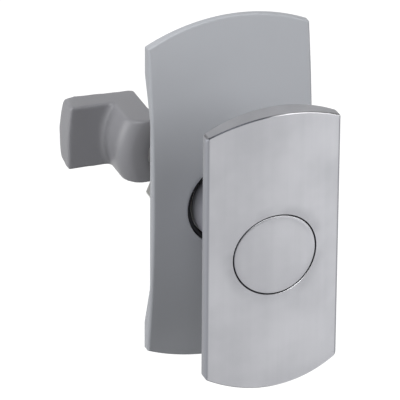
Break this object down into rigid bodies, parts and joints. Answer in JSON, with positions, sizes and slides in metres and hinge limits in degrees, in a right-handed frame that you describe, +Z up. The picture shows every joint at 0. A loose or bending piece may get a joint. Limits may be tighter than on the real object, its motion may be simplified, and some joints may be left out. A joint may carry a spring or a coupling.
{
  "type": "enclosure door handle",
  "caption": "Quarter-turn panel door handle: bowed back plate, crowned grip on a round neck with a sprung push button, and a cranked cam on the spindle behind the panel.",
  "frame": {"origin": "on the spindle's axis, in the plane where the back plate's feet meet the panel", "axes": "+Y along the spindle into the enclosure, so the grip faces -Y; +Z up along the back plate; +X to the right seen from the front"},
  "size_m": [0.0476, 0.0781, 0.0932],
  "materials": {
    "grey_paint": "satin grey powder coat on a zinc casting",
    "satin_chrome": "satin chrome on a zinc casting, brushed along its length",
    "cam_grey": "semi-matt grey coating",
    "zinc_casting": "bare zinc casting",
    "plated_steel": "bright zinc plating",
    "spring_steel": "oiled spring steel",
    "black_rubber": "matt black rubber",
    "white_plastic": "natural acetal"
  },
  "bodies": {
    "mount": {"back_plate": "grey_paint", "sleeve": "zinc_casting", "plate_screws": "plated_steel", "panel_gasket": "black_rubber", "tooth_washer": "plated_steel", "hex_nut": "plated_steel", "neck_seal": "black_rubber", "slip_washer": "white_plastic", "lock_ring": "spring_steel", "bush": "white_plastic"},
    "handle": {"grip": "satin_chrome", "spindle": "zinc_casting", "spindle_pin": "spring_steel", "stop_washer": "plated_steel", "cam_spacer": "plated_steel", "cam": "cam_grey", "cam_washer": "plated_steel", "cam_screw": "plated_steel", "button_spring": "spring_steel"},
    "button": {"button": "satin_chrome", "plunger": "spring_steel", "lock_leaf": "spring_steel"}
  },
  "joints": [
    {"name": "handle_turn", "type": "hinge", "parent": "mount", "child": "handle", "pos_m": [0, 0, 0], "axis": [0, 1, 0], "range_deg": [0, 90], "deforming": ["lock_leaf"]},
    {"name": "button_press", "type": "slide", "parent": "handle", "child": "button", "axis": [0, 1, 0], "range_m": [0, 0.0022], "stiffness_N_per_m": 1500, "springref_m": -0.002, "deforming": ["button_spring"]}
  ]
}
